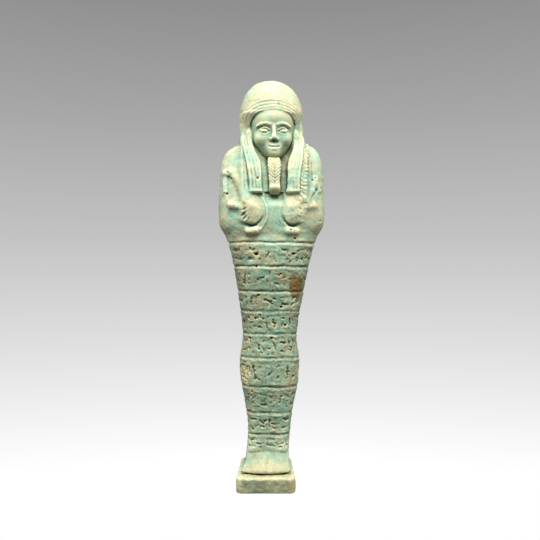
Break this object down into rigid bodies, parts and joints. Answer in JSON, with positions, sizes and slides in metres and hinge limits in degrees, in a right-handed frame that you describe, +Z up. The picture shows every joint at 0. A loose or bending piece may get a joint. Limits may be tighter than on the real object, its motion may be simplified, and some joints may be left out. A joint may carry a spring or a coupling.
{
  "type": "ushabti figurine",
  "caption": "Mummy-shaped faience funerary figurine with a striped wig, plaited beard and crossed hands, on a low plinth with a back pillar.",
  "frame": {"origin": "middle of the underside of the plinth", "axes": "+Z up through the figure, the face towards -Y, the figure's left side towards +X"},
  "size_m": [0.0393, 0.0279, 0.15],
  "materials": {
    "faience": "worn matte pale green faience glaze"
  },
  "bodies": {
    "root": {"ushabti": "faience"}
  },
  "joints": []
}
